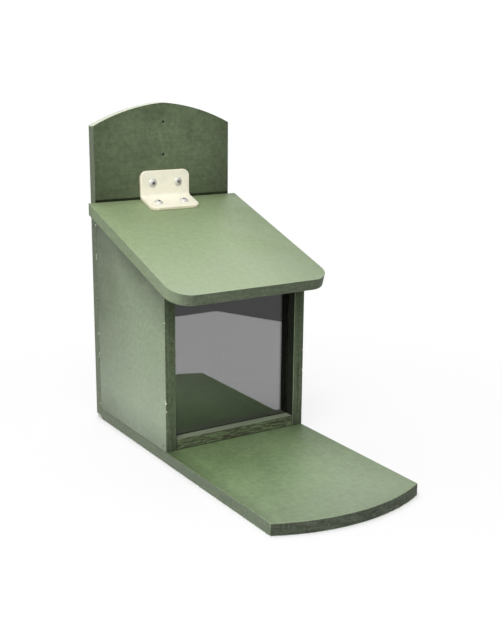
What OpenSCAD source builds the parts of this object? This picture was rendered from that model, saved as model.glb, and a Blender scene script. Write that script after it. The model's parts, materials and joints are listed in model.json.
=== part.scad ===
// Squirrel feeder house: a painted board house with a feeding platform in front,
// a clear front pane in grooves, and a lid that swings on a bent leather strap.
// +Z is up, the platform points to -Y, and the origin lies under the middle of the whole house.

/* [Boards] */
// Thickness of every wooden board
board_t = 10; // [8:0.5:14]
// Width of the house across the outside of its side walls
house_w = 140; // [120:1:200]
// Depth of the side walls from their front edges to the back board
wall_depth = 132; // [110:1:180]
// Height of the side walls' front edges above the floor board
wall_front_h = 142.5; // [110:0.5:180]

/* [Feeding platform] */
// Length of the platform's straight sides in front of the side walls
platform_len = 160; // [100:1:220]
// How far the arched front edge stands out past the platform's corners
platform_arch = 17; // [6:0.5:25]

/* [Back board] */
// Height of the back board's corners above the line where the lid meets it
back_above_lid = 68; // [62:1:110]
// Rise of the arched top edge above those corners
back_arch = 19.5; // [8:0.5:30]
// How far the two arcs of that edge are struck from beyond the middle, which gives its faint point
back_arch_lean = 14; // [0:1:30]
// Radius of the back board's two bottom corners
back_foot_r = 5; // [1:0.5:8]
// Diameter of the two hanging holes
hang_hole_d = 3; // [2.5:0.25:6]
// Distance between the hanging holes
hang_hole_spacing = 30; // [20:1:36]
// Distance of the upper hanging hole below the top of the arch
hang_hole_drop = 17.5; // [12:0.5:22]

/* [Lid] */
// Slope of the lid, in degrees, falling to the front
lid_slope = 18.3; // [10:0.1:26]
// How far the lid stands out past each side wall
lid_side_overhang = 7; // [3:0.5:15]
// How far the lid's lower front edge stands out past the front edges of the side walls
lid_front_overhang = 29.5; // [20:0.5:40]
// Radius of the lid's two front corners
lid_corner_r = 19; // [8:0.5:30]
// Gap between the lid's rear edge and the back board
lid_rear_gap = 0.8; // [0.6:0.1:4]

/* [Sill and pane] */
// Height of the sill above the floor board
sill_h = 9.5; // [7:0.5:16]
// Depth of the sill from front to back
sill_depth = 10; // [8:0.5:14]
// Thickness of the pane
pane_t = 3; // [2:0.5:4]
// Depth of the grooves that hold the pane's side edges
groove_depth = 5; // [3:0.5:6]
// Play of the pane in its grooves, in front, behind and at each side
pane_play = 0.4; // [0.2:0.05:0.6]
// Gap between the top of the pane and the closed lid
pane_headroom = 4; // [3:0.5:10]

/* [Hinge strap] */
// Width of the strap
strap_w = 51; // [40:1:70]
// Thickness of the strap
strap_t = 3; // [2:0.25:4]
// Inside radius of the strap's bend
strap_bend_r = 3.25; // [1:0.25:5]
// Length of the flat leaf on the back board
strap_upper_len = 21.5; // [20:0.5:28]
// Length of the flat leaf on the lid
strap_lower_len = 21.5; // [20:0.5:35]
// Radius of the corners at the free ends
strap_corner_r = 6.5; // [3:0.5:9]
// Distance between the two screws in a leaf
strap_screw_spacing = 26.5; // [18:0.5:30]
// Distance of a leaf's screws from its free end
strap_screw_inset = 11.5; // [8:0.5:13]

/* [Strap screws] */
// Shank diameter of the strap screws
strap_screw_d = 3.5; // [2.5:0.25:4]
// Head diameter of the strap screws
strap_head_d = 8.5; // [6:0.25:10]
// Height of the domed head
strap_head_h = 2; // [1.5:0.1:2.2]
// Wood left beyond the points of the strap screws
strap_screw_cover = 2; // [1:0.5:4]

/* [Board screws] */
// Length of the countersunk board screws
board_screw_len = 30; // [20:1:40]
// Shank diameter of the board screws
board_screw_d = 4; // [3:0.25:4.5]
// Head diameter of the board screws
board_head_d = 8; // [6:0.25:9]
// Depth that the heads are sunk below the board's surface
head_sink = 0.4; // [0.2:0.1:1]
// Distance of the floor screws from the front and rear ends of a wall
floor_screw_inset = 26; // [15:1:40]
// Height of the lower back screws above the floor board
back_screw_low = 38; // [34:1:60]
// Distance of the upper back screws below the top of the wall
back_screw_drop = 30; // [15:1:60]
// Distance between the two screws in the floor board's rear edge
rear_screw_spacing = 64; // [40:1:80]

/* [Sill brads] */
// Length of the brads
brad_len = 25; // [18:1:35]
// Shank diameter of the brads
brad_d = 1.6; // [1.2:0.1:2]
// Head diameter of the brads
brad_head_d = 2.6; // [2.2:0.1:3.5]
// Height of the brads' heads
brad_head_h = 1; // [0.5:0.1:1.5]

/* [Clearances] */
// Radial clearance of every screw and brad in its hole
screw_clear = 0.1; // [0.05:0.05:0.2]
// Gap under pieces that only rest on another piece
seat_gap = 0.05; // [0.02:0.01:0.2]

/* [Hidden] */
$fn = 96;
paint_green = [0.42, 0.50, 0.36];
edge_green = [0.31, 0.37, 0.26];
leather_cream = [0.97, 0.92, 0.80];
screw_grey = [0.72, 0.72, 0.71];
clear_pane = [0.75, 0.80, 0.82, 0.45];

// Margin by which a cutting shape runs past the face it opens
cut = 1;

// Planes along Y
house_depth = platform_arch + platform_len + wall_depth + board_t;
platform_front_y = -house_depth / 2;
wall_front_y = platform_front_y + platform_arch + platform_len;
back_front_y = wall_front_y + wall_depth;
back_rear_y = back_front_y + board_t;

// Side walls and the lid that rests on them
inner_w = house_w - 2 * board_t;
wall_mid_x = house_w / 2 - board_t / 2;
lid_w = house_w + 2 * lid_side_overhang;
lid_front_y = wall_front_y - lid_front_overhang;
lid_rear_y = back_front_y - lid_rear_gap;
// Length of the lid board before its rear edge is cut plumb
lid_len = (back_rear_y - lid_front_y) / cos(lid_slope);
function wall_top(y) = board_t + wall_front_h + (y - wall_front_y) * tan(lid_slope);
function lid_under(y) = wall_top(y) + seat_gap / cos(lid_slope);
function lid_top(y) = lid_under(y) + board_t / cos(lid_slope);

// Pane and its grooves, just behind the sill
groove_w = pane_t + 2 * pane_play;
groove_front_y = wall_front_y + sill_depth;
pane_front_y = groove_front_y + pane_play;
pane_w = inner_w + 2 * (groove_depth - pane_play);
pane_base_z = board_t + seat_gap;
pane_top_z = lid_under(pane_front_y) - pane_headroom;

// Back board
back_corner_z = lid_top(back_front_y) + back_above_lid;
upper_hole_z = back_corner_z + back_arch - hang_hole_drop;

// Bend of the strap: the hinge axis runs along X through the bend's centre
strap_outer_r = strap_bend_r + strap_t;
hinge_y = back_front_y - seat_gap - strap_outer_r;
hinge_z = lid_top(hinge_y) + (strap_outer_r + seat_gap) / cos(lid_slope);
strap_bend = 90 - lid_slope;
// Screws of the two leaves, measured along each leaf from the hinge axis
upper_screw_at = strap_upper_len - strap_screw_inset;
lower_screw_at = strap_lower_len - strap_screw_inset;
// Steps in the bend's arc
bend_steps = 16;
// How far a corner's arc crosses the edges that it rounds, on the strap and on the lid
corner_bite = 0.02;

// Screws: the head cone tapers at 45 degrees down to the shank, and the shank ends in a point
strap_screw_len = strap_t + board_t - strap_screw_cover;
board_head_h = (board_head_d - board_screw_d) / 2;
screw_point = 3;
// Crossed slots in the heads; their length is a share of the head's diameter
recess_share = 0.55;
recess_w = 1.1;
recess_depth = 1.2;
// Depth of a hole beyond the point of its screw or brad
hole_end = 0.5;
// Fineness of the long arcs
arc_fn = 240;

// Board outline: a rectangle whose far edge is an arch of two arcs, one from each corner to the apex;
// each is struck from a centre that lies beyond the middle by the lean, and without a lean they are one arc
module arched_outline(width, straight, rise, lean = 0) {
    centre_drop = (pow(width / 2, 2) + width * lean) / (2 * rise) + rise / 2;
    arc_r = norm([lean, centre_drop]);
    translate([-width / 2, 0]) square([width, straight]);
    intersection() {
        translate([-lean, straight + rise - centre_drop]) circle(arc_r, $fn = arc_fn);
        translate([lean, straight + rise - centre_drop]) circle(arc_r, $fn = arc_fn);
        translate([-width / 2, straight - rise]) square([width, 2 * rise]);
    }
}

// Extrudes an outline drawn in Y and Z by a width along X, centred on the origin
module across(width) {
    rotate([90, 0, 90]) linear_extrude(width, center = true) children();
}

// What is cut away outside a round corner of an upright board, at its +X and -Y corner
module corner_waste(radius, height) {
    difference() {
        translate([0, -radius - cut, 0]) cube([radius + cut, radius + cut, height]);
        cylinder(r = radius, h = height);
    }
}

// Places children on each side of the middle plane
module both_sides(x) {
    for (side = [-1, 1]) translate([side * x, 0, 0]) children();
}

// Two crossed slots in a screw head, open towards -Z
module cross_recess(head_d) {
    slot = head_d * recess_share;
    for (turn = [0, 90])
        rotate(turn) translate([-slot / 2, -recess_w / 2, -cut]) cube([slot, recess_w, recess_depth + cut]);
}

// Countersunk screw driven along +Z, with the face of its head at z = 0
module board_screw() {
    difference() {
        rotate_extrude() polygon([
            [0, 0],
            [board_head_d / 2, 0],
            [board_screw_d / 2, board_head_h],
            [board_screw_d / 2, board_screw_len - screw_point],
            [0, board_screw_len]
        ]);
        cross_recess(board_head_d);
    }
}

// Countersunk hole for that screw, open at the surface head_sink behind the head
module board_screw_hole() {
    rotate_extrude() polygon([
        [0, -head_sink - cut],
        [board_head_d / 2 + screw_clear, -head_sink - cut],
        [board_head_d / 2 + screw_clear, 0],
        [board_screw_d / 2 + screw_clear, board_head_h],
        [board_screw_d / 2 + screw_clear, board_screw_len + hole_end],
        [0, board_screw_len + hole_end]
    ]);
}

// Dome-headed screw driven along +Z, with the underside of its head at z = 0
module strap_screw() {
    dome_r = (pow(strap_head_d / 2, 2) + pow(strap_head_h, 2)) / (2 * strap_head_h);
    difference() {
        union() {
            intersection() {
                translate([0, 0, dome_r - strap_head_h]) sphere(dome_r);
                translate([0, 0, -strap_head_h]) cylinder(d = strap_head_d + cut, h = strap_head_h);
            }
            rotate_extrude() polygon([
                [0, -strap_head_h / 2],
                [strap_screw_d / 2, -strap_head_h / 2],
                [strap_screw_d / 2, strap_screw_len - screw_point],
                [0, strap_screw_len]
            ]);
        }
        translate([0, 0, -strap_head_h]) cross_recess(strap_head_d);
    }
}

// Hole for that screw
module strap_screw_hole() {
    translate([0, 0, -cut])
        cylinder(d = strap_screw_d + 2 * screw_clear, h = strap_screw_len + hole_end + cut);
}

// Brad driven along +Z, with its head flush at z = 0
module brad() {
    cylinder(d = brad_head_d, h = brad_head_h);
    cylinder(d = brad_d, h = brad_len);
}

// Hole for that brad
module brad_hole() {
    translate([0, 0, -cut]) cylinder(d = brad_head_d + 2 * screw_clear, h = brad_head_h + screw_clear + cut);
    cylinder(d = brad_d + 2 * screw_clear, h = brad_len + hole_end);
}

// Places children at the floor screws of one wall, driven upwards
module at_floor_screws(side) {
    for (y = [wall_front_y + floor_screw_inset, back_front_y - floor_screw_inset])
        translate([side * wall_mid_x, y, head_sink]) children();
}

// Places children at the back screws of one wall, driven to the front
module at_back_screws(side) {
    for (z = [board_t + back_screw_low, wall_top(back_front_y) - back_screw_drop])
        translate([side * wall_mid_x, back_rear_y - head_sink, z]) rotate([90, 0, 0]) children();
}

// Places children at the screws in the floor board's rear edge, driven to the front
module at_rear_screws() {
    both_sides(rear_screw_spacing / 2)
        translate([0, back_rear_y - head_sink, board_t / 2]) rotate([90, 0, 0]) children();
}

// Places children at the brad of one wall, driven inwards
module at_brad(side) {
    translate([side * house_w / 2, wall_front_y + sill_depth / 2, board_t + sill_h / 2])
        rotate([0, -side * 90, 0]) children();
}

// Moves a leaf drawn upwards from the hinge axis onto the back board
module on_back_board() {
    translate([0, hinge_y, hinge_z]) children();
}

// Moves a leaf drawn upwards from the hinge axis onto the lid
module on_lid() {
    translate([0, hinge_y, hinge_z]) rotate([-strap_bend, 0, 0]) mirror([0, 0, 1]) children();
}

// Places children at the two screws of a leaf, driven through it at a height above the hinge axis
module at_leaf_screws(height) {
    both_sides(strap_screw_spacing / 2) translate([0, strap_bend_r, height]) rotate([-90, 0, 0]) children();
}

// Side outline of the strap about the hinge axis: upper leaf, bend and lower leaf
function bend_arc(radius) = [for (i = [0:bend_steps]) radius * bend_ray(i / bend_steps)];
function bend_ray(share) = [cos(share * strap_bend), -sin(share * strap_bend)];
function lower_end(radius) = radius * bend_ray(1) - strap_lower_len * [sin(strap_bend), cos(strap_bend)];
function reversed(list) = [for (i = [len(list) - 1:-1:0]) list[i]];
strap_outline = concat(
    [[strap_bend_r, strap_upper_len], [strap_outer_r, strap_upper_len]],
    bend_arc(strap_outer_r),
    [lower_end(strap_outer_r), lower_end(strap_bend_r)],
    reversed(bend_arc(strap_bend_r))
);

// What is cut from a leaf: its screw holes, and the corners at its free end
module leaf_waste(leaf_len, screw_height) {
    at_leaf_screws(screw_height) strap_screw_hole();
    arc_x = strap_w / 2 - strap_corner_r + corner_bite;
    arc_z = leaf_len - strap_corner_r + corner_bite;
    for (flip = [0, 1])
        mirror([flip, 0, 0]) translate([arc_x, strap_outer_r + cut, arc_z]) rotate([90, 0, 0])
            mirror([0, 1, 0]) corner_waste(strap_corner_r, strap_t + 2 * cut);
}

// Side wall with its pane groove and screw holes; side is -1 for the left one and 1 for the right one
module side_wall(side) {
    difference() {
        translate([side * wall_mid_x, 0, 0]) across(board_t) polygon([
            [wall_front_y, board_t],
            [back_front_y, board_t],
            [back_front_y, wall_top(back_front_y)],
            [wall_front_y, wall_top(wall_front_y)]
        ]);
        translate([side * inner_w / 2 - groove_depth, groove_front_y, board_t - cut])
            cube([2 * groove_depth, groove_w, wall_top(back_front_y)]);
        at_floor_screws(side) board_screw_hole();
        at_back_screws(side) board_screw_hole();
        at_brad(side) brad_hole();
    }
}

// House floor and feeding platform in one board
module floor_board() {
    color(paint_green) difference() {
        translate([0, back_front_y, 0]) mirror([0, 1, 0])
            linear_extrude(board_t) arched_outline(house_w, wall_depth + platform_len, platform_arch);
        for (side = [-1, 1]) at_floor_screws(side) board_screw_hole();
        at_rear_screws() board_screw_hole();
    }
}

// Back board from the ground to its arched top, with round bottom corners and two hanging holes
module back_board() {
    color(paint_green) difference() {
        translate([0, back_rear_y, 0]) rotate([90, 0, 0])
            linear_extrude(board_t) arched_outline(house_w, back_corner_z, back_arch, back_arch_lean);
        for (flip = [0, 1])
            mirror([flip, 0, 0]) translate([house_w / 2 - back_foot_r, back_rear_y + cut, back_foot_r])
                rotate([90, 0, 0]) corner_waste(back_foot_r, board_t + 2 * cut);
        for (z = [upper_hole_z, upper_hole_z - hang_hole_spacing])
            translate([0, back_front_y - cut, z]) rotate([-90, 0, 0])
                cylinder(d = hang_hole_d, h = board_t + 2 * cut);
        for (side = [-1, 1]) at_back_screws(side) board_screw_hole();
        at_rear_screws() board_screw_hole();
        on_back_board() at_leaf_screws(upper_screw_at) strap_screw_hole();
    }
}

module left_wall() {
    color(paint_green) side_wall(-1);
}

module right_wall() {
    color(paint_green) side_wall(1);
}

// Strip across the front that keeps the foot of the pane in place
module sill() {
    color(edge_green) difference() {
        translate([-inner_w / 2, wall_front_y, board_t]) cube([inner_w, sill_depth, sill_h]);
        for (side = [-1, 1]) at_brad(side) brad_hole();
    }
}

// Clear pane, standing on the floor board and lifted out upwards when the lid is open
module front_pane() {
    color(clear_pane) translate([-pane_w / 2, pane_front_y, pane_base_z])
        cube([pane_w, pane_t, pane_top_z - pane_base_z]);
}

// What is cut from the lid board's round front corners, drawn flat with the front edge at y = 0
module lid_corner_cuts() {
    arc_x = lid_w / 2 - lid_corner_r + corner_bite;
    arc_y = lid_corner_r - corner_bite;
    for (flip = [0, 1])
        mirror([flip, 0, 0]) translate([arc_x, arc_y, -cut]) corner_waste(lid_corner_r, board_t + 2 * cut);
}

// Sloping lid: its front edge is square, with round corners, and its rear edge is cut plumb
module lid() {
    color(paint_green) difference() {
        translate([0, lid_front_y, lid_under(lid_front_y)]) rotate([lid_slope, 0, 0]) difference() {
            translate([-lid_w / 2, 0, 0]) cube([lid_w, lid_len, board_t]);
            lid_corner_cuts();
        }
        translate([-lid_w / 2 - cut, lid_rear_y, 0]) cube([lid_w + 2 * cut, 2 * board_t, back_corner_z]);
        on_lid() at_leaf_screws(lower_screw_at) strap_screw_hole();
    }
}

// Leather strap bent once between the back board and the lid
module hinge_strap() {
    color(leather_cream) difference() {
        on_back_board() across(strap_w) polygon(strap_outline);
        on_back_board() leaf_waste(strap_upper_len, upper_screw_at);
        on_lid() leaf_waste(strap_lower_len, lower_screw_at);
    }
}

module strap_screws_upper() {
    color(screw_grey) on_back_board() at_leaf_screws(upper_screw_at) strap_screw();
}

module strap_screws_lower() {
    color(screw_grey) on_lid() at_leaf_screws(lower_screw_at) strap_screw();
}

module floor_screws_left() {
    color(screw_grey) at_floor_screws(-1) board_screw();
}

module floor_screws_right() {
    color(screw_grey) at_floor_screws(1) board_screw();
}

module back_screws_left() {
    color(screw_grey) at_back_screws(-1) board_screw();
}

module back_screws_right() {
    color(screw_grey) at_back_screws(1) board_screw();
}

module floor_rear_screws() {
    color(screw_grey) at_rear_screws() board_screw();
}

module sill_brad_left() {
    color(screw_grey) at_brad(-1) brad();
}

module sill_brad_right() {
    color(screw_grey) at_brad(1) brad();
}

floor_board();
back_board();
left_wall();
right_wall();
sill();
front_pane();
lid();
hinge_strap();
strap_screws_upper();
strap_screws_lower();
floor_screws_left();
floor_screws_right();
back_screws_left();
back_screws_right();
floor_rear_screws();
sill_brad_left();
sill_brad_right();
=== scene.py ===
# Squirrel feeder house: a painted plywood box with a feeding platform, a clear pane in front
# and a lid that swings on a leather strap. Metres, +Z up, the platform points to -Y.
import json
import math

import bmesh
import bpy
from mathutils import Matrix, Vector, noise
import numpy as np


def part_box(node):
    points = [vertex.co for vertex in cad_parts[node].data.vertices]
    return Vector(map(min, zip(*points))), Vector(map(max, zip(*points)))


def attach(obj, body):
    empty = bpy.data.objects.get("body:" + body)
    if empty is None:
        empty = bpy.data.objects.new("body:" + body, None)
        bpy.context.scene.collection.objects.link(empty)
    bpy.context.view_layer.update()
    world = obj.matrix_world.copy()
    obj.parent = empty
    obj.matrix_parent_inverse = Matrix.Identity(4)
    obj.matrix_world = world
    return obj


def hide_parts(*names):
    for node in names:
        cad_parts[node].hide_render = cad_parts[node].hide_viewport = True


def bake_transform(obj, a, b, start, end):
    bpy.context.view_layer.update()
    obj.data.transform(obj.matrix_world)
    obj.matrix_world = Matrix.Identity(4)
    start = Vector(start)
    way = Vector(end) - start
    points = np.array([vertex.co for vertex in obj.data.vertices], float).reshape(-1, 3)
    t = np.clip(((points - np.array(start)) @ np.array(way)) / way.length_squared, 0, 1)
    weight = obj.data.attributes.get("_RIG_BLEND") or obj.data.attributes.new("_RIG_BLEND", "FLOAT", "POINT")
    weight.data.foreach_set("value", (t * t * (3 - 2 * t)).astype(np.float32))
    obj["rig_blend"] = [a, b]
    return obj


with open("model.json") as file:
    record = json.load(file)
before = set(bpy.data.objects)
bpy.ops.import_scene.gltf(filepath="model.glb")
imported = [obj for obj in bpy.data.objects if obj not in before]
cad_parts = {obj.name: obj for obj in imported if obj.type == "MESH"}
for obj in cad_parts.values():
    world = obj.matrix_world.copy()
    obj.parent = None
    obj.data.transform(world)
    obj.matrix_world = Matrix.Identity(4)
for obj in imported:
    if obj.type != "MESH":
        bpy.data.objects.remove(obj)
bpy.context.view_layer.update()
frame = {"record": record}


# Floor board: one plywood board that is both the house floor and the feeding platform.
# Sawn to an arched front, drilled and countersunk from below for the wall screws, sanded, then brushed
# with sage green paint. Its sawn edges drink the paint and stay darker, darkened further by painted shade,
# and the arrises rub pale.
MM = 0.001
floor_low, floor_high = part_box("floor_board")
back_low, back_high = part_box("back_board")
wall_low, wall_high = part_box("left_wall")
board = floor_high.z
house_half = floor_high.x
inner_half = house_half - board
wall_front = wall_low.y
back_front = back_low.y
LID_SLOPE = math.radians(18.3)
wall_top_front = wall_high.z - (back_front - wall_front) * math.tan(LID_SLOPE)

PLATFORM_ARCH = 17 * MM
ARC_STEPS = 40
HOLE_STEPS = 28
ROUND_STEPS = 4
ARRIS = 0.7 * MM
BOARD_SCREW_RADIUS = 2 * MM
BOARD_HEAD_RADIUS = 4 * MM
HEAD_SINK = 0.4 * MM
SCREW_PLAY = 0.1 * MM
FLOOR_SCREW_INSET = 26 * MM
SAME_LEVEL = 0.01 * MM
RIM_ANGLE = math.radians(40)
EDGE_ANGLE = math.radians(25)
EDGE_LEAN = 0.7
screw_line = house_half - board / 2
floor_screw_rows = (wall_front + FLOOR_SCREW_INSET, back_front - FLOOR_SCREW_INSET)
floor_screw_spots = [(side * screw_line, y) for side in (-1, 1) for y in floor_screw_rows]


def fresh_mesh():
    """Empty mesh with the two marks that the paint reads: worn arrises and sawn edges."""
    bm = bmesh.new()
    bm.verts.layers.float.new("arris")
    bm.faces.layers.float.new("sawn")
    return bm


def arc(bm, start, centre, angle, steps):
    """Draws an arc of edges from a corner round a centre, and gives back its last corner."""
    return bmesh.ops.spin(
        bm, geom=[start], cent=(*centre, 0), axis=(0, 0, 1), angle=angle, steps=steps, use_merge=False
    )["geom_last"][0]


def arch_drop(half_width, rise, lean):
    """How far below its apex the two centres of an arch lie."""
    return (half_width ** 2 + 2 * half_width * lean) / (2 * rise) + rise / 2


def arched_outline(bm, half_width, foot, corner, apex, lean=0.0):
    """Loop of edges in X and Y: two straight sides from the foot to the corners, and an arch of two arcs,
    each struck from a centre that lies beyond the middle by the lean."""
    rise = apex - corner
    drop = arch_drop(half_width, rise, lean)
    sweep = math.atan2(half_width + lean, abs(drop - rise)) - math.atan2(lean, abs(drop))
    right = bm.verts.new((half_width, corner, 0))
    left = right
    for centre_x in (-lean, lean):
        left = arc(bm, left, (centre_x, apex - drop), math.copysign(sweep, rise), ARC_STEPS // 2)
    foot_left = bm.verts.new((-half_width, foot, 0))
    foot_right = bm.verts.new((half_width, foot, 0))
    for pair in ((left, foot_left), (foot_left, foot_right), (foot_right, right)):
        bm.edges.new(pair)


def drill(bm, spots, radius):
    """Adds the rims of round holes to an outline that is not filled yet."""
    for x, y in spots:
        bmesh.ops.create_circle(bm, segments=HOLE_STEPS, radius=radius, matrix=Matrix.Translation((x, y, 0)))


def fill_outline(bm):
    """Fills an outline, leaving its holes open."""
    bmesh.ops.triangle_fill(bm, use_beauty=True, use_dissolve=False, edges=bm.edges[:])


def lift_faces(bm, faces, height):
    """Extrudes faces straight up and gives back what that made."""
    lifted = bmesh.ops.extrude_face_region(bm, geom=faces)["geom"]
    corners = [item for item in lifted if isinstance(item, bmesh.types.BMVert)]
    bmesh.ops.translate(bm, vec=(0, 0, height), verts=corners)
    return lifted


def face_outward(bm):
    bmesh.ops.recalc_face_normals(bm, faces=bm.faces[:])


def raise_board(bm, thickness):
    """Makes a solid board of an outline."""
    fill_outline(bm)
    lift_faces(bm, bm.faces[:], thickness)
    face_outward(bm)


def lies_flat(edge):
    return abs(edge.verts[0].co.z - edge.verts[1].co.z) <= SAME_LEVEL


def rim_of(bm, spots, reach, height=None):
    """Sharp edges round the drilled spots, on both faces or only at the given height."""
    found = []
    for edge in bm.edges:
        middle = (edge.verts[0].co + edge.verts[1].co) / 2
        level = height is None or abs(middle.z - height) < SAME_LEVEL
        if level and lies_flat(edge) and edge.calc_face_angle(0) > RIM_ANGLE:
            if any((middle.xy - Vector(spot)).length < reach for spot in spots):
                found.append(edge)
    return found


def outer_edges(bm, spots=(), reach=0.0):
    """Sharp outward edges of a board, apart from those round the drilled spots."""
    near_hole = set(rim_of(bm, spots, reach))
    return [
        edge for edge in bm.edges
        if edge.is_manifold and edge.is_convex and edge.calc_face_angle(0) > EDGE_ANGLE
        and edge not in near_hole
    ]


def mark_sawn(bm, grain_axis, ends, sides):
    """Marks the faces round a flat board's edge, by how much paint its ends and sides drink up and how much
    painted shade they carry.
    """
    sawn = bm.faces.layers.float["sawn"]
    for face in bm.faces:
        if abs(face.normal.z) < EDGE_LEAN:
            face[sawn] = sides + (ends - sides) * face.normal[grain_axis] ** 2


def bevel_edges(bm, edges, width, steps):
    """Bevels edges, smooths the new strip and gives back what that made."""
    made = bmesh.ops.bevel(
        bm, geom=edges, offset=width, offset_type="OFFSET", segments=steps, profile=0.5,
        affect="EDGES", clamp_overlap=True, material=-1
    )
    for face in made["faces"]:
        face.smooth = True
    return made


def ease(bm, edges, width):
    """Sands edges round and marks the new strip, so that the paint can wear there."""
    made = bevel_edges(bm, edges, width, ROUND_STEPS)
    arris = bm.verts.layers.float["arris"]
    strip = set(made["faces"])
    for vert in made["verts"]:
        if all(face in strip for face in vert.link_faces):
            vert[arris] = 1.0


def countersink(bm, spots):
    """Opens the drilled holes at the lower face into cones for the screw heads."""
    rims = rim_of(bm, spots, BOARD_HEAD_RADIUS, height=0)
    bevel_edges(bm, rims, BOARD_HEAD_RADIUS - BOARD_SCREW_RADIUS + HEAD_SINK, steps=1)


def as_mesh(bm, name):
    """Stores a finished mesh under a name."""
    mesh = bpy.data.meshes.new(name)
    bm.to_mesh(mesh)
    bm.free()
    return mesh


def put_in_scene(name, data):
    thing = bpy.data.objects.new(name, data)
    bpy.context.scene.collection.objects.link(thing)
    return thing


def add_piece(name, bm, finish, body, slot, *nodes):
    """Turns a mesh into a named piece that stands for CAD nodes and rides on a body."""
    mesh = as_mesh(bm, name)
    mesh.materials.append(finish)
    piece = put_in_scene(name, mesh)
    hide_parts(*nodes)
    if body:
        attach(piece, body)
    return piece


def new_finish(name):
    """Empty material with a Principled shader; gives the material, its nodes and the shader."""
    finish = bpy.data.materials.new(name)
    finish.use_nodes = True
    return finish, finish.node_tree, finish.node_tree.nodes["Principled BSDF"]


def plug(tree, target, sockets):
    """Sets a shader node's inputs, by name or place, to values or to other nodes' outputs."""
    for key, value in dict(sockets).items():
        if isinstance(value, bpy.types.NodeSocket):
            tree.links.new(value, target.inputs[key])
        else:
            target.inputs[key].default_value = value


def node(tree, kind, sockets=(), **settings):
    """Adds a shader node with its settings and inputs."""
    made = tree.nodes.new("ShaderNode" + kind)
    for key, value in settings.items():
        setattr(made, key, value)
    plug(tree, made, sockets)
    return made


def object_place(tree):
    return node(tree, "TexCoord").outputs["Object"]


def axes_of(tree, vector):
    return node(tree, "SeparateXYZ", {0: vector}).outputs


def streaks(tree, place, stretch, detail=5.0, twist=0.6, turn=(0, 0, 0)):
    """Noise between 0 and 1, drawn out by a different scale on each axis."""
    turned = node(tree, "Mapping", {"Vector": place, "Rotation": turn, "Scale": stretch}).outputs[0]
    return node(
        tree, "TexNoise",
        {"Vector": turned, "Scale": 1.0, "Detail": detail, "Roughness": 0.6, "Distortion": twist}
    ).outputs["Fac"]


def cloud(tree, place, scale, detail):
    """Noise between 0 and 1 with the same scale on each axis."""
    return node(tree, "TexNoise", {"Vector": place, "Scale": scale, "Detail": detail}).outputs["Fac"]


def cells(tree, place, scale):
    """Distance from the middle of the nearest of many scattered cells."""
    return node(tree, "TexVoronoi", {"Vector": place, "Scale": scale}).outputs["Distance"]


def ramp(tree, value, low, high, start=0.0, end=1.0):
    """Rescales a value from one range to another and stops at the ends."""
    return node(
        tree, "MapRange",
        {"Value": value, "From Min": low, "From Max": high, "To Min": start, "To Max": end}, clamp=True
    ).outputs[0]


def arithmetic(operation):
    """Makes a function that puts shader values through one kind of sum, several of them in turn."""
    def work(tree, first, *others):
        for other in others or (0.0,):
            first = node(tree, "Math", {0: first, 1: other}, operation=operation).outputs[0]
        return first
    return work


plus = arithmetic("ADD")
minus = arithmetic("SUBTRACT")
times = arithmetic("MULTIPLY")
largest = arithmetic("MAXIMUM")
is_over = arithmetic("GREATER_THAN")
is_under = arithmetic("LESS_THAN")
size_of = arithmetic("ABSOLUTE")


def weighted(tree, *parts):
    """Sum of shader values, each times its weight."""
    return plus(tree, *[times(tree, value, weight) for value, weight in parts])


def mixed(tree, share, first, second):
    """Mixes two colours; a colour is a triple or another node's output."""
    ends = [end if isinstance(end, bpy.types.NodeSocket) else (*end, 1.0) for end in (first, second)]
    return node(tree, "Mix", {0: share, 6: ends[0], 7: ends[1]}, data_type="RGBA").outputs[2]


def mark(tree, name):
    """Reads a number that the mesh carries."""
    return node(tree, "Attribute", attribute_name=name).outputs["Fac"]


def bumps(tree, height, strength, distance):
    return node(tree, "Bump", {"Height": height, "Strength": strength, "Distance": distance}).outputs[0]


def tinted(colour, factor):
    return tuple(channel * factor for channel in colour)


def depth_under_lid(tree, axes):
    """How far below the slope of the walls' top edges a place lies."""
    rise = wall_top_front - wall_front * math.tan(LID_SLOPE)
    return minus(tree, plus(tree, times(tree, axes[1], math.tan(LID_SLOPE)), rise), axes[2])


SHADE_MARGIN = 0.2 * MM


def hopper_painted_shade(tree, axes):
    """1 on faces inside the hopper and beside the pane, which carry near-black painted shade instead of green
    paint.
    """
    x, y, z = axes
    return times(
        tree,
        is_under(tree, size_of(tree, x), inner_half + SHADE_MARGIN),
        is_over(tree, y, wall_front + ARRIS),
        is_under(tree, y, back_front + SHADE_MARGIN),
        is_over(tree, z, board - SHADE_MARGIN),
        is_over(tree, depth_under_lid(tree, axes), -2 * SHADE_MARGIN)
    )


# Pale grey-green that paints sheen on the satin paint.
SHEEN_GREY = (0.36, 0.41, 0.33)
WORN_PAINT = (0.40, 0.45, 0.32)
BARE_CHIP = (0.78, 0.76, 0.68)
# Two colours of sawn edges, dark from drunk-in paint and darker still from painted shade.
SOAKED_AND_SHADED = ((0.026, 0.031, 0.021), (0.110, 0.128, 0.092))
# Dark colour for painted shade, and for darker places of no given cause.
SHADE_AND_DARKENING = (0.014, 0.018, 0.008)
# Near-black colour of the painted shade inside the hopper and beside the pane.
HOPPER_PAINTED_SHADE = (0.018, 0.020, 0.014)
# Cells of each noise in a metre, from broad clouds to the nap of the paint, and the span most of it fills.
CLOUD, PATCH, MOTTLE, FLAKE, NAP = 38.0, 75.0, 230.0, 330.0, 620.0
MIDDLE = (0.38, 0.62)


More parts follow.
